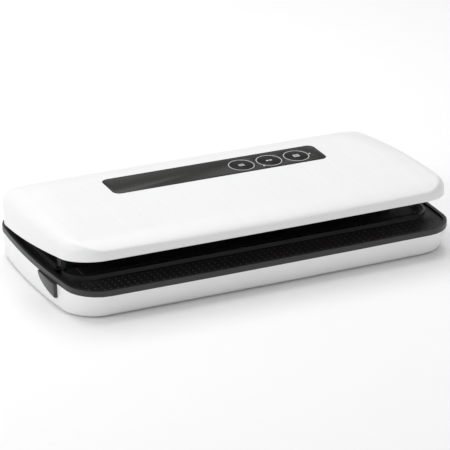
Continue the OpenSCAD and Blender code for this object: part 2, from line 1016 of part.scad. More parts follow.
module control_board() {
    color("seagreen")
    on_panel()
        block(button_x[0] - 24, -13, board_drop - 4.6, button_x[2] + 20, 13, board_drop - 3);
    color("black")
    on_panel()
        block(button_x[0] - 20, -6, board_drop - 3.1, button_x[0] - 10, 4, board_drop - 1.6);
}

module lid_screws() {
    color("silver")
    ajar()
        for (p = lid_screw_xy)
            translate([p.x, p.y, liner_z - 1])
                pan_screw(10.4);
}

// ---- Vacuum pump and release valve, carried in the lid ----

module pump_motor() {
    color("silver")
    ajar()
        translate([pump_x - pump_w/2, pump_y, pump_z])
            rotate([0, -90, 0])
                difference() {
                    union() {
                        cylinder(h = 30, r = motor_r);
                        translate([0, 0, 29])
                            cylinder(h = 3, r = 3.5);
                    }
                    translate([0, 0, -1])
                        cylinder(h = 24, r = shaft_r + slide_fit);
                }
}

module pump_housing() {
    color([0.85, 0.85, 0.85])
    ajar()
        difference() {
            block(pump_x - pump_w/2, pump_y - 12, pump_z - 10.8,
                pump_x + pump_w/2, pump_y + 10, pump_z + 10);
            translate([pump_x - pump_w/2 - 1, pump_y, pump_z])
                rotate([0, 90, 0])
                    cylinder(h = pump_w - 3, r = cavity_r);
            translate([pump_x, pump_y, pump_z])
                rotate([90, 0, 0])
                    cylinder(h = 14, r = 5.5);
        }
}

module pump_eccentric() {
    color("goldenrod")
    ajar()
        translate([pump_x, pump_y, pump_z])
            rotate([0, 90, 0]) {
                translate([0, 0, -pump_w/2 - 18])
                    cylinder(h = pump_w/2 + 24, r = shaft_r);
                translate([1.5, 0, -5])
                    cylinder(h = 10, r = 4.5);
            }
}

module pump_diaphragm() {
    color("black")
    ajar()
        translate([pump_x, pump_y - 12, pump_z])
            rotate([90, 0, 0])
                cylinder(h = 1.2, r = 8.5);
}

module pump_head() {
    color([0.9, 0.9, 0.9])
    ajar()
        difference() {
            union() {
                block(pump_x - 10, pump_y - 18, pump_z - 10, pump_x + 10, pump_y - 13.2, pump_z + 9);
                translate([pump_x, pump_y - 17, port_z])
                    rotate([90, 0, 0])
                        cylinder(h = 7, r = 2);
            }
            translate([pump_x, pump_y - 12, port_z])
                rotate([90, 0, 0])
                    cylinder(h = 14, r = 1.2);
        }
}

module air_hose() {
    hose_0 = chamber_rear + chamber_t + 0.5;
    hose_1 = pump_y - 18.5;
    color([0.8, 0.8, 0.75])
    ajar()
        translate([port_x, hose_1, port_z])
            rotate([90, 0, 0])
                difference() {
                    cylinder(h = hose_1 - hose_0, r = 3);
                    translate([0, 0, -1])
                        cylinder(h = hose_1 - hose_0 + 2, r = 2.02);
                }
}

module valve_body() {
    color("dimgray")
    ajar()
        translate([valve_x, valve_y, valve_z])
            difference() {
                cylinder(h = 8.4, r = 8);
                translate([0, 0, -1])
                    cylinder(h = 7.6, r = plunger_r + slide_fit);
            }
}

module valve_plunger() {
    color("silver")
    ajar()
        translate([valve_x, valve_y, valve_z - chamber_t - 0.6])
            cylinder(h = 6.6, r = plunger_r);
}

base_shell();
base_tray();
lower_gasket();
heater_bar();
heating_element();
sealing_tape();
bag_stops();
trough_filter();
power_board();
transformer();
thermal_fuse();
lid_switch();
cord_gland();
rubber_feet();
base_screws();
hinge_pins();
hinge_springs();
left_release_button();
left_latch();
left_latch_spring();
right_release_button();
right_latch();
right_latch_spring();
switch_plunger();
lid_shell();
lid_liner();
upper_gasket();
press_holder();
press_strip();
control_panel();
button_rings();
indicator_lights();
control_board();
tact_switches();
lid_screws();
pump_motor();
pump_housing();
pump_diaphragm();
pump_head();
air_hose();
valve_body();
seal_button();
vacuum_button();
stop_button();
pump_eccentric();
valve_plunger();
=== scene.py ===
import json
import logging
import math
from dataclasses import dataclass, field
from enum import Enum

import bmesh
import bpy
from mathutils import Matrix, Vector
from mathutils.kdtree import KDTree


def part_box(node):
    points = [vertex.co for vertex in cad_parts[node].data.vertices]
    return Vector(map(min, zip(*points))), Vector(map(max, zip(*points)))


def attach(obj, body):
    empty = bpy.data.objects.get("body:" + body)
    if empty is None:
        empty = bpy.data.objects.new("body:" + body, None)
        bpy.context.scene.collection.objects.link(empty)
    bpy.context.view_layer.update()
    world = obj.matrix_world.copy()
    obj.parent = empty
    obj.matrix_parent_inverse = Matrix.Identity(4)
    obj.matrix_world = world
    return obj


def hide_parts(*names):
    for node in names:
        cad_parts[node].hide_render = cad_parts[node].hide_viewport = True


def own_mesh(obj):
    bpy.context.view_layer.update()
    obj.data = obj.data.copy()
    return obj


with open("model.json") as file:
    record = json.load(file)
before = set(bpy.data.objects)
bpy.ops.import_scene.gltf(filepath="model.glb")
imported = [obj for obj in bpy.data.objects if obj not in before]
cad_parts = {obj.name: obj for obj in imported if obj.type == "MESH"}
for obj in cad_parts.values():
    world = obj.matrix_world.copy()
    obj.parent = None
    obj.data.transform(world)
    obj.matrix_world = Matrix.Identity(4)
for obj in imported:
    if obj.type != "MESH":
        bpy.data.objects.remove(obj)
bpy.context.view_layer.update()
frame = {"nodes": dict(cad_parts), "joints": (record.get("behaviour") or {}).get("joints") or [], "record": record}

MM = 0.001
log = logging.getLogger("vacuum_sealer")


class Body(Enum):
    """The moving bodies that a piece can ride on."""

    BASE = "base"
    LID = "lid"
    LEFT_RELEASE = "left_release"
    RIGHT_RELEASE = "right_release"
    SEAL_KEY = "seal_key"
    VACUUM_KEY = "vacuum_key"
    STOP_KEY = "stop_key"


class Side(Enum):
    """The two ends of the sealer, as the sign of X."""

    LEFT = -1
    RIGHT = 1


# ---------------------------------------------------------------- finishes


@dataclass(frozen=True)
class Finish:
    """A procedural surface: its colour, how that varies, its gloss and its relief.

    The relief is a fine grain, measured in grains per metre, plus a slower unevenness such as a
    moulding leaves.
    """

    name: str
    colour: tuple[float, float, float]
    variation: float = 0.02
    roughness: float = 0.4
    roughness_spread: float = 0.06
    metallic: float = 0.0
    coat: float = 0.0
    coat_roughness: float = 0.1
    sheen: float = 0.0
    specular: float = 0.5
    grain: float = 2500.0
    grain_height: float = 0.02
    wave: float = 40.0
    wave_height: float = 0.0

    def build(self) -> bpy.types.Material:
        """Makes the material's node tree.

        Returns:
            The finished material.
        """
        material = bpy.data.materials.new(self.name)
        material.use_nodes = True
        tree = material.node_tree
        shader = tree.nodes["Principled BSDF"]
        shader.inputs["Metallic"].default_value = self.metallic
        shader.inputs["Coat Weight"].default_value = self.coat
        shader.inputs["Coat Roughness"].default_value = self.coat_roughness
        shader.inputs["Sheen Weight"].default_value = self.sheen
        shader.inputs["Specular IOR Level"].default_value = self.specular
        place = tree.nodes.new("ShaderNodeTexCoord")
        slow = self._noise(tree, place, self.wave, 3)
        fine = self._noise(tree, place, self.grain, 2)
        self._colour(tree, shader, slow)
        self._roughness(tree, shader, slow)
        self._relief(tree, shader, slow, fine)
        return material

    @staticmethod
    def _noise(
        tree: bpy.types.NodeTree, place: bpy.types.Node, scale: float, detail: float
    ) -> bpy.types.Node:
        """Adds a noise of that many cells per metre and returns its node."""
        noise = tree.nodes.new("ShaderNodeTexNoise")
        noise.inputs["Scale"].default_value = scale
        noise.inputs["Detail"].default_value = detail
        tree.links.new(place.outputs["Object"], noise.inputs["Vector"])
        return noise

    def _colour(self, tree: bpy.types.NodeTree, shader: bpy.types.Node, slow: bpy.types.Node) -> None:
        """Varies the colour a little either side of its middle value."""
        ramp = tree.nodes.new("ShaderNodeValToRGB")
        ramp.color_ramp.elements[0].position = 0.3
        ramp.color_ramp.elements[1].position = 0.7
        for element, sign in zip(ramp.color_ramp.elements, (-1, 1)):
            shade = [min(1.0, max(0.0, c * (1 + sign * self.variation))) for c in self.colour]
            element.color = (*shade, 1)
        tree.links.new(slow.outputs["Fac"], ramp.inputs["Fac"])
        tree.links.new(ramp.outputs["Color"], shader.inputs["Base Color"])

    def _roughness(self, tree: bpy.types.NodeTree, shader: bpy.types.Node, slow: bpy.types.Node) -> None:
        """Lets the gloss drift between two close values."""
        spread = tree.nodes.new("ShaderNodeMapRange")
        spread.inputs["To Min"].default_value = max(0.02, self.roughness - self.roughness_spread)
        spread.inputs["To Max"].default_value = min(1.0, self.roughness + self.roughness_spread)
        tree.links.new(slow.outputs["Fac"], spread.inputs["Value"])
        tree.links.new(spread.outputs["Result"], shader.inputs["Roughness"])

    def _relief(
        self, tree: bpy.types.NodeTree, shader: bpy.types.Node, slow: bpy.types.Node, fine: bpy.types.Node
    ) -> bpy.types.Node:
        """Stacks the fine grain on the slow unevenness and returns the last bump node."""
        base = tree.nodes.new("ShaderNodeBump")
        base.inputs["Strength"].default_value = 1.0
        base.inputs["Distance"].default_value = self.wave_height * MM
        tree.links.new(slow.outputs["Fac"], base.inputs["Height"])
        top = tree.nodes.new("ShaderNodeBump")
        top.inputs["Strength"].default_value = 1.0
        top.inputs["Distance"].default_value = self.grain_height * MM
        tree.links.new(fine.outputs["Fac"], top.inputs["Height"])
        tree.links.new(base.outputs["Normal"], top.inputs["Normal"])
        tree.links.new(top.outputs["Normal"], shader.inputs["Normal"])
        return top


@dataclass(frozen=True)
class GroovedFinish(Finish):
    """A finish with very shallow grooves that run from front to back, one every pitch metres."""

    pitch: float = 0.025
    groove_height: float = 0.08

    def _relief(
        self, tree: bpy.types.NodeTree, shader: bpy.types.Node, slow: bpy.types.Node, fine: bpy.types.Node
    ) -> bpy.types.Node:
        """Adds the grooves on top of the grain and returns the last bump node."""
        top = super()._relief(tree, shader, slow, fine)
        place = tree.nodes.new("ShaderNodeTexCoord")
        wave = tree.nodes.new("ShaderNodeTexWave")
        wave.wave_type = "BANDS"
        wave.bands_direction = "X"
        wave.inputs["Scale"].default_value = math.pi / (10 * self.pitch)
        narrow = tree.nodes.new("ShaderNodeValToRGB")
        narrow.color_ramp.elements[0].position = 0.0
        narrow.color_ramp.elements[1].position = 0.08
        groove = tree.nodes.new("ShaderNodeBump")
        groove.inputs["Distance"].default_value = self.groove_height * MM
        tree.links.new(place.outputs["Object"], wave.inputs["Vector"])
        tree.links.new(wave.outputs["Fac"], narrow.inputs["Fac"])
        tree.links.new(narrow.outputs["Color"], groove.inputs["Height"])
        tree.links.new(top.outputs["Normal"], groove.inputs["Normal"])
        tree.links.new(groove.outputs["Normal"], shader.inputs["Normal"])
        return groove


@dataclass(frozen=True)
class WovenFinish(Finish):
    """A finish with a plain weave, for the coated glass cloth over the heater."""

    threads: float = 1800.0
    thread_height: float = 0.05

    def _relief(
        self, tree: bpy.types.NodeTree, shader: bpy.types.Node, slow: bpy.types.Node, fine: bpy.types.Node
    ) -> bpy.types.Node:
        """Adds warp and weft on top of the grain and returns the last bump node."""
        last = super()._relief(tree, shader, slow, fine)
        place = tree.nodes.new("ShaderNodeTexCoord")
        for direction in ("X", "Y"):
            wave = tree.nodes.new("ShaderNodeTexWave")
            wave.bands_direction = direction
            wave.inputs["Scale"].default_value = self.threads * math.pi / 10
            thread = tree.nodes.new("ShaderNodeBump")
            thread.inputs["Distance"].default_value = self.thread_height * MM
            tree.links.new(place.outputs["Object"], wave.inputs["Vector"])
            tree.links.new(wave.outputs["Fac"], thread.inputs["Height"])
            tree.links.new(last.outputs["Normal"], thread.inputs["Normal"])
            tree.links.new(thread.outputs["Normal"], shader.inputs["Normal"])
            last = thread
        return last


WHITE_SHELL = Finish("white shell", (0.86, 0.86, 0.865), 0.008, 0.36, 0.04, coat=0.08, coat_roughness=0.2,
                     specular=0.3, grain=1600, grain_height=0.006, wave=25, wave_height=0.02)
WHITE_LID = GroovedFinish("white lid", (0.86, 0.86, 0.865), 0.008, 0.36, 0.04, coat=0.06, coat_roughness=0.2,
                          specular=0.25, grain=1600, grain_height=0.004, wave=25, wave_height=0.02)
DARK_TRAY = Finish("dark tray", (0.022, 0.022, 0.024), 0.12, 0.42, 0.07, grain=1400, grain_height=0.03)
LIP_BEAD = Finish("lip bead", (0.03, 0.03, 0.032), 0.08, 0.28, 0.04, coat=0.3, grain=1400, grain_height=0.008)
# Painted highlight: the shelf dots get a lighter grey than the tray, standing in for the light that the raised
# bumps catch.
SHELF_DOT_PAINTED_HIGHLIGHT = Finish("shelf dot", (0.1, 0.1, 0.1), 0.1, 0.35, 0.05, grain=1400, grain_height=0.01)
DARK_LINER = Finish("dark liner", (0.016, 0.016, 0.018), 0.12, 0.5, 0.07, grain=1400, grain_height=0.03)
DARK_BUTTON = Finish("dark button", (0.035, 0.035, 0.037), 0.06, 0.34, 0.05, grain=1800, grain_height=0.01)
PANEL_GLOSS = Finish("panel gloss", (0.014, 0.014, 0.013), 0.05, 0.26, 0.03, specular=0.2,
                     grain=600, grain_height=0.002)
KEY_CAP = Finish("key cap", (0.004, 0.004, 0.004), 0.1, 0.35, 0.04, specular=0.12,
                 grain=900, grain_height=0.003)
RING_LIGHT = Finish("ring light", (0.55, 0.55, 0.56), 0.02, 0.45, grain=1200, grain_height=0.004)
ICON_WHITE = Finish("icon white", (0.75, 0.75, 0.75), 0.02, 0.5, grain=1200, grain_height=0.003)
LATCH_PLASTIC = Finish("latch plastic", (0.05, 0.05, 0.055), 0.08, 0.5, grain=1500, grain_height=0.02)
GASKET_FOAM = Finish("gasket foam", (0.018, 0.018, 0.018), 0.35, 0.9, 0.05, sheen=0.1,
                     grain=900, grain_height=0.3)
FOOT_RUBBER = Finish("foot rubber", (0.02, 0.02, 0.02), 0.15, 0.8, 0.08, grain=1500, grain_height=0.05)
PRESS_SILICONE = Finish("press silicone", (0.35, 0.06, 0.03), 0.08, 0.6, grain=1000, grain_height=0.02)
GLASS_CLOTH = WovenFinish("glass cloth", (0.018, 0.018, 0.018), 0.2, 0.38, 0.08,
                          grain=1200, grain_height=0.01)
HEATER_LAMINATE = Finish("heater laminate", (0.12, 0.08, 0.05), 0.2, 0.6, grain=1500, grain_height=0.04)
STEEL = Finish("steel", (0.62, 0.62, 0.63), 0.05, 0.3, 0.1, metallic=1.0, grain=2200, grain_height=0.01)
BRASS = Finish("brass", (0.75, 0.52, 0.2), 0.06, 0.28, 0.08, metallic=1.0, grain=2200, grain_height=0.008)
CORE_STEEL = Finish("core steel", (0.2, 0.2, 0.21), 0.15, 0.5, 0.1, metallic=0.8,
                    grain=1800, grain_height=0.05)
BOARD_MASK = Finish("board mask", (0.02, 0.12, 0.05), 0.15, 0.4, 0.08, coat=0.3, grain=900, grain_height=0.02)
INNER_PLASTIC = Finish("inner plastic", (0.62, 0.62, 0.6), 0.03, 0.5, grain=1500, grain_height=0.015)
HOSE_SILICONE = Finish("hose silicone", (0.6, 0.6, 0.56), 0.05, 0.35, grain=1200, grain_height=0.01)
FLOOR_PAPER = Finish("floor paper", (0.93, 0.93, 0.93), 0.004, 0.9, 0.02, grain=300, grain_height=0.01)


class Wardrobe:
    """Builds each finish once and dresses pieces with it."""

    def __init__(self) -> None:
        """Starts with nothing built."""
        self._built: dict[str, bpy.types.Material] = {}

    def dress(self, piece: bpy.types.Object, finish: Finish) -> None:
        """Puts one finish over the whole of a piece.

        Args:
            piece: the object to dress.
            finish: the finish it gets.
        """
        if finish.name not in self._built:
            self._built[finish.name] = finish.build()
        if not piece.material_slots:
            piece.data.materials.append(None)
        for slot in piece.material_slots:
            slot.material = self._built[finish.name]


# ---------------------------------------------------------------- bench tools


Point = tuple[float, float, float]


class Bench:
    """The modelling moves that the pieces share."""

    @staticmethod
    def only(piece: bpy.types.Object) -> None:
        """Selects one object and nothing else."""
        if bpy.context.object and bpy.context.object.mode != "OBJECT":
            bpy.ops.object.mode_set(mode="OBJECT")
        bpy.ops.object.select_all(action="DESELECT")
        piece.select_set(True)
        bpy.context.view_layer.objects.active = piece

    @staticmethod
    def apply(piece: bpy.types.Object, kind: str, **settings: object) -> None:
        """Adds a modifier with these settings and applies it.

        Args:
            piece: the object it works on.
            kind: the modifier's type.
            settings: its properties by name.
        """
        Bench.only(piece)
        bpy.ops.object.modifier_add(type=kind)
        modifier = piece.modifiers[-1]
        for name, value in settings.items():
            setattr(modifier, name, value)
        bpy.ops.object.modifier_apply(modifier=modifier.name)

    @staticmethod
    def smooth(piece: bpy.types.Object, degrees: float = 30) -> None:
        """Shades a piece smooth where its faces meet at less than this angle."""
        Bench.only(piece)
        bpy.ops.object.shade_smooth_by_angle(angle=math.radians(degrees))

    @staticmethod
    def copy_node(node: str, name: str, drop: bool = True) -> bpy.types.Object:
        """Copies a CAD node and joins its loose triangles into clean faces.

        Args:
            node: the CAD node's name.
            name: the copy's name.
            drop: whether flat regions become single faces.

        Returns:
            The copy.
        """
        source = frame["nodes"][node]
        piece = bpy.data.objects.new(name, source.data.copy())
        bpy.context.scene.collection.objects.link(piece)
        piece.data.materials.clear()
        Bench.only(piece)
        bpy.ops.object.mode_set(mode="EDIT")
        bpy.ops.mesh.select_all(action="SELECT")
        bpy.ops.mesh.remove_doubles(threshold=0.004 * MM)
        if drop:
            bpy.ops.mesh.dissolve_limited(angle_limit=math.radians(0.6))
        bpy.ops.object.mode_set(mode="OBJECT")
        if piece.data.has_custom_normals:
            bpy.ops.mesh.customdata_custom_splitnormals_clear()
        return piece

    @staticmethod
    def soften(piece: bpy.types.Object, width: float, angle: float = 35, segments: int = 2) -> None:
        """Rounds a piece's edges and shades it smooth.

        Args:
            piece: the object to soften.
            width: the rounding, in millimetres.
            angle: the least angle between faces that counts as an edge, in degrees.
            segments: the faces across each rounding.
        """
        Bench.apply(piece, "BEVEL", width=width * MM, segments=segments, limit_method="ANGLE",
                    angle_limit=math.radians(angle), use_clamp_overlap=True, harden_normals=False)
        Bench.smooth(piece, 40)

    @staticmethod
    def loft(name: str, rings: list[list[Point]], fill_start: bool, fill_end: bool) -> bpy.types.Object:
        """Extrudes a closed loop from ring to ring.

        Args:
            name: the new object's name.
            rings: the rings in order, each with the same number of points.
            fill_start: whether the first ring is closed with a face.
            fill_end: whether the last ring is closed with a face.

        Returns:
            The new object, with its faces pointing outwards.
        """
        count = len(rings[0])
        bpy.ops.object.select_all(action="DESELECT")
        fill = "NGON" if fill_start else "NOTHING"
        bpy.ops.mesh.primitive_circle_add(vertices=count, radius=1, fill_type=fill)
        piece = bpy.context.object
        piece.name = name
        for vertex, place in zip(piece.data.vertices, rings[0]):
            vertex.co = place
        bpy.ops.object.mode_set(mode="EDIT")
        bpy.ops.mesh.select_mode(type="EDGE")
        bpy.ops.mesh.select_all(action="SELECT")
        for before, after in zip(rings, rings[1:]):
            finder = KDTree(count)
            for index, point in enumerate(before):
                finder.insert(point, index)
            finder.balance()
            bpy.ops.mesh.extrude_edges_move()
            mesh = bmesh.from_edit_mesh(piece.data)
            for vertex in mesh.verts:
                if vertex.select:
                    vertex.co = after[finder.find(vertex.co)[1]]
            bmesh.update_edit_mesh(piece.data)
        if fill_end:
            bpy.ops.mesh.edge_face_add()
        bpy.ops.mesh.select_all(action="SELECT")
        bpy.ops.mesh.normals_make_consistent(inside=False)
        bpy.ops.object.mode_set(mode="OBJECT")
        return piece

    @staticmethod
    def cut(piece: bpy.types.Object, cutter: bpy.types.Object) -> None:
        """Subtracts one object from another and removes the cutter."""
        Bench.apply(piece, "BOOLEAN", operation="DIFFERENCE", object=cutter, solver="EXACT")
        bpy.data.objects.remove(cutter)

    @staticmethod
    def join(pieces: list[bpy.types.Object], name: str) -> bpy.types.Object:
        """Joins several objects into the first one and names it."""
        Bench.only(pieces[0])
        for piece in pieces:
            piece.select_set(True)
        bpy.ops.object.join()
        pieces[0].name = name
        return pieces[0]

    @staticmethod
    def settle(piece: bpy.types.Object) -> bpy.types.Object:
        """Moves an object's place, turn and scale into its mesh."""
        Bench.only(piece)
        bpy.ops.object.transform_apply(location=True, rotation=True, scale=True)
        return piece


# ---------------------------------------------------------------- shapes shared by base and lid


@dataclass(frozen=True)
class BowedPlan:
    """A rounded rectangle whose sides bow out in the middle."""

    width: float
    depth: float
    middle_y: float
    corner: float
    side_bow: float
    front_bow: float
    corner_steps: int = 20
    long_steps: int = 56
    short_steps: int = 36

    def ring(self, inset: float) -> list[tuple[float, float]]:
        """Walks once round the plan.

        Args:
            inset: how far the walk stays inside the edge, in metres.

        Returns:
            The points, anticlockwise, the same number for every inset.
        """
        w, d = self.width - 2 * inset, self.depth - 2 * inset
        r = max(self.corner - inset, 0.002)
        flat: list[tuple[float, float]] = []
        for quarter, (sx, sy) in enumerate(((1, 1), (-1, 1), (-1, -1), (1, -1))):
            for step in range(self.corner_steps + 1):
                a = math.radians(90 * (quarter + step / self.corner_steps))
                flat.append((sx * (w / 2 - r) + r * math.cos(a), sy * (d / 2 - r) + r * math.sin(a)))
            steps = self.long_steps if quarter % 2 == 0 else self.short_steps
            x0, y0 = flat[-1]
            x1 = x0 if quarter % 2 else -x0
            y1 = y0 if quarter % 2 == 0 else -y0
            flat += [(x0 + (x1 - x0) * i / steps, y0 + (y1 - y0) * i / steps) for i in range(1, steps)]
        return [self._bend(x, y, w, d) for x, y in flat]

    def _bend(self, x: float, y: float, w: float, d: float) -> tuple[float, float]:
        """Draws the corners in from the bowed middles."""
        return (
            x * (1 - 2 * self.side_bow / w * (2 * y / d) ** 2),
            self.middle_y + y * (1 - 2 * self.front_bow / d * (2 * x / w) ** 2),
        )


class Hinge:
    """The lid hinge as the frame holds it: where it is and how far the lid rests open."""

    def __init__(self) -> None:
        """Reads the hinge from the frame's joints."""
        joint = next(j for j in frame["joints"] if j["name"] == "lid_hinge")
        self.place = Vector(joint["pos_m"])
        self.rest = math.radians(-joint["range_deg"][0])
        turn = Matrix.Rotation(-self.rest, 4, "X")
        self.open = Matrix.Translation(self.place) @ turn @ Matrix.Translation(-self.place)

    def closed_box(self, node: str) -> tuple[Vector, Vector]:
        """Gives the box that a lid node fills with the lid closed."""
        back = self.open.inverted()
        places = [back @ v.co for v in frame["nodes"][node].data.vertices]
        low = Vector([min(p[i] for p in places) for i in range(3)])
        high = Vector([max(p[i] for p in places) for i in range(3)])
        return low, high


# ---------------------------------------------------------------- lid


@dataclass
class LidCover:
    """The crowned white cover, laid out closed and then tipped open on its hinge."""

    hinge: Hinge
    corner: float = 28 * MM
    side_bow: float = 6.9 * MM
    front_bow: float = 1.8 * MM
    wall_height: float = 5.2 * MM
    nose_run: float = 24 * MM
    nose_fullness: float = 2.0
    nose_fill: float = 6 * MM
    tilt: float = math.radians(10)
    crown_radius: float = 75 * MM
    tail_radius: float = 22 * MM
    tail_angle: float = math.radians(31)
    edge_run: float = 14 * MM
    edge_height: float = 10.5 * MM
    end_slope: float = math.radians(22)
    end_rise: float = 0.09
    end_bulge: float = 3 * MM
    thickness: float = 2.4 * MM
    rear_lift: float = 6.8 * MM
    rear_lift_run: float = 10 * MM
    crease: float = 7 * MM
    lip: float = 0.5 * MM
    panel_gap: float = 0.25 * MM
    panel_corner: float = 6.5 * MM

    def __post_init__(self) -> None:
        """Works the outline out from the cover's closed box."""
        self.low, self.high = self.hinge.closed_box("lid_shell")
        self.front, self.rear, self.bottom = self.low.y, self.high.y, self.low.z
        self.plan = BowedPlan(self.high.x - self.low.x, self.rear - self.front, (self.front + self.rear) / 2,
                              self.corner, self.side_bow, self.front_bow)
        rise = math.sin(self.tilt) + math.sin(self.tail_angle)
        tail = self.tail_radius * (1 - math.sin(self.tail_angle))
        self.crown_y = self.rear - self.crown_radius * rise - tail
        self.crown_z = self.high.z - self.crown_radius * (1 - math.cos(self.tilt))
        self.wall_top = self.bottom + self.wall_height

    def side_height(self, y: float) -> float:
        """Gives the cover's height on its middle line, seen from the side.

        Args:
            y: the place from front to back, in metres.

        Returns:
            The height of the nose, slope, crown or tail there.
        """
        nose_end = self.front + self.nose_run
        slope = math.tan(self.tilt)
        nose_top = self.crown_z + (nose_end - self.crown_y) * slope
        if y < nose_end:
            t = min(1.0, max(0.0, (nose_end - y) / self.nose_run))
            full = max(0.0, 1 - t ** self.nose_fullness) ** (1 / self.nose_fullness)
            return self.wall_top + (nose_top + (y - nose_end) * slope - self.wall_top) * full
        if y < self.crown_y:
            return self.crown_z + (y - self.crown_y) * slope
        turn = (y - self.crown_y) / self.crown_radius - math.sin(self.tilt)
        if turn < math.sin(self.tail_angle):
            return self.crown_z + self.crown_radius * (math.sqrt(1 - turn * turn) - math.cos(self.tilt))
        tail_z = (self.crown_z + self.crown_radius * (math.cos(self.tail_angle) - math.cos(self.tilt))
                  - self.tail_radius * math.cos(self.tail_angle))
        s = min(1.0, (y - (self.rear - self.tail_radius)) / self.tail_radius)
        return tail_z + self.tail_radius * math.sqrt(max(0.0, 1 - s * s))

    def end_height(self, inset: float, y: float) -> float:
        """Gives the height of the rounded edge and end slope at a distance in from the edge."""
        turn = math.atan(self.edge_height / self.edge_run / math.tan(self.end_slope))
        run = self.edge_run * (1 - math.cos(turn))
        if inset < run:
            t = 1 - inset / self.edge_run
            up = self.edge_height * math.sqrt(max(0.0, 1 - t * t))
        else:
            up = self.edge_height * math.sin(turn) + (inset - run) * math.tan(self.end_slope)
        along = 2 * (y - self.front) / (self.rear - self.front) - 1
        full = self.end_bulge * (1 - along * along)
        full += self.nose_fill * max(0.0, 1 - (y - self.front) / self.nose_run)
        return self.wall_top + up + self.end_rise * (y - self.front) + full * min(1.0, inset / self.edge_run)

    def height(self, inset: float, y: float) -> float:
        """Blends the side shape and the end shape with a soft crease."""
        a, b = self.side_height(y), self.end_height(inset, y)
        k = min(self.crease, inset * 0.4)
        if k < 1e-6:
            return min(a, b)
        h = max(k - abs(a - b), 0.0) / k
        return min(a, b) - h * h * k / 4

    def bottom_at(self, y: float) -> float:
        """Gives the height of the lower edge, which lifts near the hinge."""
        past = y - (self.rear - self.rear_lift_run)
        return self.bottom + max(0.0, past) / self.rear_lift_run * self.rear_lift

    def build(self) -> bpy.types.Object:
        """Models the cover.

        Returns:
            The cover, tipped to where the lid rests.
        """
        insets = [0.1, 0.3, 0.6, 1, 1.5, 2.1, 2.8, 3.6, 4.5, 5.5, 6.6, 7.8, 9.1, 10.5, 12]
        insets += [12 + 1.4 * i for i in range(1, 22)]
        insets += [41.4 + 2.6 * i for i in range(1, 19)]
        edge = self.plan.ring(0)
        lip = self.plan.ring(self.lip)
        rings = [
            [(x, y, self.bottom_at(y)) for x, y in lip],
            [(x, y, self.bottom_at(y) + self.lip * 0.3) for x, y in self.plan.ring(self.lip * 0.3)],
            [(x, y, self.bottom_at(y) + self.lip) for x, y in edge],
            [(x, y, self.height(0, y)) for x, y in edge],
        ]
        for inset in insets:
            rings.append([(x, y, self.height(inset * MM, y)) for x, y in self.plan.ring(inset * MM)])
        cover = Bench.loft("lid_cover", rings, fill_start=False, fill_end=True)
        Bench.apply(cover, "SOLIDIFY", thickness=self.thickness, offset=-1, use_even_offset=False,
                    use_quality_normals=True)
        cover.data.transform(self.hinge.open)
        self._open_panel(cover)
        Bench.smooth(cover, 35)
        return cover

    def _open_panel(self, cover: bpy.types.Object) -> None:
        """Cuts the recess that the control panel drops into."""
        low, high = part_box("control_panel")
        gap = self.panel_gap
        bpy.ops.object.select_all(action="DESELECT")
        bpy.ops.mesh.primitive_cube_add(size=1, location=(low + high) / 2)
        cutter = bpy.context.object
        cutter.dimensions = (high.x - low.x + gap, high.y - low.y + gap, high.z - low.z + 8 * MM)
        Bench.settle(cutter)
        Bench.only(cutter)
        bpy.ops.object.mode_set(mode="EDIT")
        mesh = bmesh.from_edit_mesh(cutter.data)
        for each in mesh.edges:
            each.select = abs(each.verts[0].co.z - each.verts[1].co.z) > 1 * MM
        bmesh.update_edit_mesh(cutter.data)
        bpy.ops.mesh.bevel(offset=self.panel_corner, segments=10)
        bpy.ops.object.mode_set(mode="OBJECT")
        Bench.cut(cover, cutter)


# ---------------------------------------------------------------- control panel


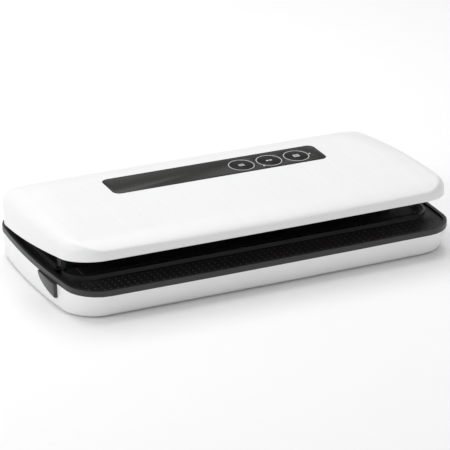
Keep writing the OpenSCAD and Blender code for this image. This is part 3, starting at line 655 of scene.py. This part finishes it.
@dataclass
class ControlPanel:
    """The glossy strip on the lid: its plate, key caps, rings and their printed marks."""

    keys: tuple[tuple[str, Body], ...] = (
        ("seal_button", Body.SEAL_KEY),
        ("vacuum_button", Body.VACUUM_KEY),
        ("stop_button", Body.STOP_KEY),
    )
    mark_height: float = 0.06 * MM
    plate_edge: float = 0.25
    cap_edge: float = 0.3
    ring_edge: float = 0.12
    mark_edge: float = 0.05
    pieces: list[tuple[bpy.types.Object, Body, str, Finish]] = field(default_factory=list)

    def build(self) -> None:
        """Models the plate, the caps and the rings."""
        plate = Bench.copy_node("control_panel", "panel_plate")
        Bench.soften(plate, self.plate_edge)
        self.pieces.append((plate, Body.LID, "control_panel", PANEL_GLOSS))
        for node, body in self.keys:
            cap = Bench.copy_node(node, node.replace("button", "key_cap"))
            Bench.soften(cap, self.cap_edge)
            self.pieces.append((cap, body, node, KEY_CAP))
        rings = Bench.copy_node("button_rings", "key_rings")
        Bench.soften(rings, self.ring_edge)
        self.pieces.append((rings, Body.LID, "button_rings", RING_LIGHT))

    def mark_frame(self, node: str) -> Matrix:
        """Gives the frame on top of a key: its middle, with Z square to the face."""
        low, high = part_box(node)
        normal = Vector(next(j["axis"] for j in frame["joints"] if j["name"] == "seal_press")) * -1
        tilt = math.atan2(-normal.y, normal.z)
        middle = (low + high) / 2
        top = max(v.co.dot(normal) for v in frame["nodes"][node].data.vertices)
        middle += normal * (top - middle.dot(normal))
        return Matrix.Translation(middle) @ Matrix.Rotation(tilt, 4, "X")

    def marks(self) -> list[tuple[bpy.types.Object, Body]]:
        """Models the small generic marks on the three keys.

        Returns:
            Each mark with the body that it rides on.
        """
        made = []
        strokes = {
            "seal_button": [(0, 0, 5.6, 1.0), (0, 1.7, 5.6, 0.5), (0, -1.7, 5.6, 0.5)],
            "vacuum_button": [(-1.6, 0, 2.0, 2.0), (1.6, 0, 2.0, 2.0), (0, 0, 6.4, 0.5)],
            "stop_button": [(0, 0, 4.2, 0.8), (0, 2.0, 4.2, 0.8), (0, -2.0, 4.2, 0.8), (-2.4, 0, 0.8, 4.8),
                            (2.4, 0, 0.8, 4.8)],
        }
        for node, body in self.keys:
            parts = []
            for x, y, w, d in strokes[node]:
                bpy.ops.object.select_all(action="DESELECT")
                bpy.ops.mesh.primitive_cube_add(size=1, location=(x * MM, y * MM, 0))
                part = bpy.context.object
                part.dimensions = (w * MM, d * MM, self.mark_height * 2)
                Bench.settle(part)
                parts.append(part)
            mark = Bench.join(parts, node.replace("button", "mark"))
            Bench.soften(mark, self.mark_edge, segments=1)
            mark.data.transform(self.mark_frame(node))
            made.append((mark, body))
        return made


# ---------------------------------------------------------------- base


@dataclass
class Base:
    """The white housing and the dark tray."""

    dot_pitch: float = 6 * MM
    dot_radius: float = 0.75 * MM
    dot_height: float = 0.45 * MM
    dot_rows: int = 4
    dot_rear: float = 28 * MM
    lip_corner: float = 22 * MM
    bead_half: float = 1.1 * MM
    bead_height: float = 0.2 * MM
    claw_gap: float = 14 * MM
    bead_steps: int = 12

    def housing(self) -> bpy.types.Object:
        """Finishes the lower housing."""
        piece = Bench.copy_node("base_shell", "base_housing")
        Bench.soften(piece, 0.3, angle=40)
        return piece

    def tray(self) -> bpy.types.Object:
        """Finishes the tray with its rim band and island."""
        piece = Bench.copy_node("base_tray", "sealing_tray")
        Bench.soften(piece, 0.45, angle=40, segments=3)
        return piece

    def bead(self) -> bpy.types.Object:
        """Runs a smooth bead along the lip of the island.

        Returns:
            The bead, a closed ring of even thickness.
        """
        top = self._lip_height()
        lip = [v.co for v in frame["nodes"]["base_tray"].data.vertices if abs(v.co.z - top) < 0.05 * MM]
        width = max(p.x for p in lip) - min(p.x for p in lip)
        front, rear = min(p.y for p in lip), max(p.y for p in lip)
        plan = BowedPlan(width, rear - front, (front + rear) / 2, self.lip_corner, 0, 0)
        rings = []
        for step in range(self.bead_steps + 1):
            a = 2 * math.pi * step / self.bead_steps
            inset = self.bead_half * (1.05 - math.cos(a))
            z = top + self.bead_height * math.sin(a)
            rings.append([(x, y, z) for x, y in plan.ring(inset)])
        piece = Bench.loft("island_bead", rings, fill_start=False, fill_end=False)
        Bench.only(piece)
        bpy.ops.object.mode_set(mode="EDIT")
        bpy.ops.mesh.select_all(action="SELECT")
        bpy.ops.mesh.remove_doubles(threshold=0.01 * MM)
        bpy.ops.mesh.normals_make_consistent(inside=False)
        bpy.ops.object.mode_set(mode="OBJECT")
        latch_low, latch_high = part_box("left_latch")
        bpy.ops.mesh.primitive_cube_add(size=1, location=(0, (latch_low.y + latch_high.y) / 2, top))
        slot = bpy.context.object
        slot.scale = (2 * width, self.claw_gap, self.claw_gap)
        Bench.cut(piece, Bench.settle(slot))
        Bench.smooth(piece, 60)
        return piece

    @staticmethod
    def _lip_height() -> float:
        """Finds the height of the island's lip, the highest wide flat face of the tray."""
        area: dict[int, float] = {}
        for face in frame["nodes"]["base_tray"].data.polygons:
            if face.normal.z > 0.99:
                key = round(face.center.z * 1e4)
                area[key] = area.get(key, 0) + face.area
        return max(key for key, value in area.items() if value > 5e-4) / 1e4

    def dots(self) -> bpy.types.Object:
        """Studs the shelf round the island with small raised dots.

        Returns:
            All the dots as one piece.
        """
        low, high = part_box("base_tray")
        shelf = self._shelf_height()
        places = []
        count_x = int((high.x - 12 * MM) / self.dot_pitch)
        for i in range(-count_x, count_x + 1):
            for row in range(self.dot_rows):
                x = i * self.dot_pitch
                y = low.y + self.dot_rear - row * self.dot_pitch
                if self._on_shelf(x, y, low, high):
                    places.append((x, y))
        bpy.ops.object.select_all(action="DESELECT")
        bpy.ops.mesh.primitive_uv_sphere_add(segments=8, ring_count=4, radius=self.dot_radius)
        seed = bpy.context.object
        seed.scale.z = self.dot_height / self.dot_radius
        Bench.settle(seed)
        dots = []
        for x, y in places:
            dot = bpy.data.objects.new("dot", seed.data.copy())
            dot.data.transform(Matrix.Translation((x, y, shelf)))
            bpy.context.scene.collection.objects.link(dot)
            dots.append(dot)
        bpy.data.objects.remove(seed)
        piece = Bench.join(dots, "shelf_dots")
        Bench.smooth(piece, 60)
        return piece

    @staticmethod
    def _shelf_height() -> float:
        """Finds the height of the front shelf, the largest flat face near the front."""
        low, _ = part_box("base_tray")
        area: dict[int, float] = {}
        for face in frame["nodes"]["base_tray"].data.polygons:
            if face.normal.z > 0.99 and face.center.y < low.y + 30 * MM:
                key = round(face.center.z * 1e4)
                area[key] = area.get(key, 0) + face.area
        return max(area, key=area.get) / 1e4

    @staticmethod
    def _on_shelf(x: float, y: float, low: Vector, high: Vector) -> bool:
        """Tells whether a dot fits between the rim's rounded corner and the island."""
        radius, margin = 27 * MM, 6 * MM
        dx = abs(x) - (high.x - 4.9 * MM - radius)
        dy = (low.y + 1.8 * MM + radius) - y
        if dx > 0 and dy > 0:
            return math.hypot(dx, dy) < radius - margin
        return abs(x) < high.x - 4.9 * MM - margin and y > low.y + 1.8 * MM + margin


@dataclass
class ReleaseButton:
    """A dark release button at one end of the base."""

    side: Side
    travel: float = 2.4 * MM

    @property
    def node(self) -> str:
        """Names the CAD node that the button stands for."""
        return f"{self.side.name.lower()}_release_button"

    @property
    def body(self) -> Body:
        """Names the body that the button rides on."""
        return Body.LEFT_RELEASE if self.side is Side.LEFT else Body.RIGHT_RELEASE

    def build(self) -> bpy.types.Object:
        """Finishes the button with rounded edges."""
        piece = Bench.copy_node(self.node, f"{self.side.name.lower()}_release_cap")
        Bench.soften(piece, 0.8, segments=3)
        return piece

    def press_spring(self) -> None:
        """Gives the return spring a mesh of its own; the spring is not shortened here."""
        side = self.side.name.lower()
        spring = frame["nodes"][f"{side}_latch_spring"]
        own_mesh(spring)


# ---------------------------------------------------------------- carried-over nodes

NODE_FINISH: dict[str, Finish] = {
    "lid_liner": DARK_LINER, "lower_gasket": GASKET_FOAM, "upper_gasket": GASKET_FOAM,
    "heater_bar": HEATER_LAMINATE, "heating_element": STEEL, "sealing_tape": GLASS_CLOTH,
    "bag_stops": LATCH_PLASTIC, "trough_filter": INNER_PLASTIC, "power_board": BOARD_MASK,
    "control_board": BOARD_MASK, "transformer": CORE_STEEL, "thermal_fuse": STEEL,
    "lid_switch": LATCH_PLASTIC, "cord_gland": FOOT_RUBBER, "rubber_feet": FOOT_RUBBER,
    "base_screws": STEEL, "lid_screws": STEEL, "hinge_pins": STEEL, "hinge_springs": STEEL,
    "left_latch": LATCH_PLASTIC, "right_latch": LATCH_PLASTIC, "left_latch_spring": STEEL,
    "right_latch_spring": STEEL, "switch_plunger": INNER_PLASTIC, "press_holder": STEEL,
    "press_strip": PRESS_SILICONE, "indicator_lights": ICON_WHITE, "tact_switches": LATCH_PLASTIC,
    "pump_motor": STEEL, "pump_housing": INNER_PLASTIC, "pump_diaphragm": GASKET_FOAM,
    "pump_head": INNER_PLASTIC, "air_hose": HOSE_SILICONE, "valve_body": LATCH_PLASTIC,
    "pump_eccentric": BRASS, "valve_plunger": STEEL,
}


# ---------------------------------------------------------------- studio


@dataclass
class Studio:
    """Pale floor, soft light and the camera."""

    azimuth: float = math.radians(-26.02)
    elevation: float = math.radians(21.65)
    distance: float = 2.084
    aim: Point = (0.0, 0.0, 0.030)
    lens: float = 186.75
    rise: float = -0.0131
    floor_size: float = 12.0

    def floor(self, wardrobe: Wardrobe) -> None:
        """Lays the floor sheet."""
        bpy.ops.object.select_all(action="DESELECT")
        bpy.ops.mesh.primitive_plane_add(size=self.floor_size, location=(0, 0, 0))
        sheet = bpy.context.object
        sheet.name = "floor"
        wardrobe.dress(sheet, FLOOR_PAPER)

    def lights(self) -> None:
        """Hangs the soft boxes and sets the surrounding light."""
        self._soft_box("top_light", (0.0, 0.55, 1.65), (0, 0, 0), 1.6, 22.5)
        self._soft_box("left_light", (-1.8, 0.1, 0.9), (0, 0, 0), 1.2, 11.0)
        self._soft_box("front_light", (0.3, -2.2, 0.3), (0, 0, 0), 1.2, 4.0)
        world = bpy.data.worlds.new("studio")
        bpy.context.scene.world = world
        world.use_nodes = True
        sky = world.node_tree.nodes["Background"]
        sky.inputs["Color"].default_value = (1, 1, 1, 1)
        sky.inputs["Strength"].default_value = 0.42
        bpy.context.scene.view_settings.view_transform = "Standard"

    @staticmethod
    def _soft_box(name: str, place: Point, aim: Point, size: float, power: float) -> None:
        """Hangs one square light that faces a point."""
        light = bpy.data.lights.new(name, "AREA")
        light.size = size
        light.energy = power
        holder = bpy.data.objects.new(name, light)
        holder.location = place
        holder.rotation_euler = (Vector(aim) - Vector(place)).to_track_quat("-Z", "Y").to_euler()
        bpy.context.scene.collection.objects.link(holder)

    def camera(self) -> None:
        """Sets up the camera."""
        back = Vector((
            math.sin(self.azimuth) * math.cos(self.elevation),
            -math.cos(self.azimuth) * math.cos(self.elevation),
            math.sin(self.elevation),
        ))
        data = bpy.data.cameras.new("camera")
        data.lens = self.lens
        data.sensor_width = 36
        data.shift_y = self.rise
        data.clip_end = 50
        holder = bpy.data.objects.new("camera", data)
        holder.location = Vector(self.aim) + back * self.distance
        holder.rotation_euler = (-back).to_track_quat("-Z", "Y").to_euler()
        bpy.context.scene.collection.objects.link(holder)
        bpy.context.scene.camera = holder


def place(piece: bpy.types.Object, body: Body, slot: str, *replaced: str) -> None:
    """Gives a piece its body and hides the CAD nodes it stands for.

    Args:
        piece: the finished object.
        body: the body it rides on.
        slot: the record's material slot; not used.
        replaced: the CAD nodes that it hides.
    """
    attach(piece, body.value)
    if replaced:
        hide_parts(*replaced)
    log.info("%s: %d faces, rides on %s", piece.name, len(piece.data.polygons), body.value)


def slot_of(node: str) -> str:
    """Gives the material slot that the record names for a node."""
    return next(s["material_slot"] for s in frame["record"]["subparts"] if s["node"] == node)


def main() -> None:
    """Builds the sealer and its studio."""
    logging.basicConfig(level=logging.INFO, format="%(name)s: %(message)s")
    studio = Studio()
    studio.camera()
    wardrobe = Wardrobe()
    hinge = Hinge()

    cover = LidCover(hinge).build()
    wardrobe.dress(cover, WHITE_LID)
    place(cover, Body.LID, slot_of("lid_shell"), "lid_shell")

    panel = ControlPanel()
    panel.build()
    for piece, body, node, finish in panel.pieces:
        wardrobe.dress(piece, finish)
        place(piece, body, slot_of(node), node)
    for mark, body in panel.marks():
        wardrobe.dress(mark, ICON_WHITE)
        place(mark, body, slot_of("button_rings"))

    base = Base()
    housing = base.housing()
    wardrobe.dress(housing, WHITE_SHELL)
    place(housing, Body.BASE, slot_of("base_shell"), "base_shell")
    tray = base.tray()
    wardrobe.dress(tray, DARK_TRAY)
    place(tray, Body.BASE, slot_of("base_tray"), "base_tray")
    bead = base.bead()
    wardrobe.dress(bead, LIP_BEAD)
    place(bead, Body.BASE, slot_of("base_tray"))
    dots = base.dots()
    # The dots wear the painted-highlight grey, lighter than the tray they stand on.
    wardrobe.dress(dots, SHELF_DOT_PAINTED_HIGHLIGHT)
    place(dots, Body.BASE, slot_of("base_tray"))
    for side in Side:
        button = ReleaseButton(side)
        cap = button.build()
        wardrobe.dress(cap, DARK_BUTTON)
        place(cap, button.body, slot_of(button.node), button.node)
        button.press_spring()

    for node, finish in NODE_FINISH.items():
        wardrobe.dress(frame["nodes"][node], finish)
    studio.floor(wardrobe)
    studio.lights()


if __name__ == "__main__":
    main()
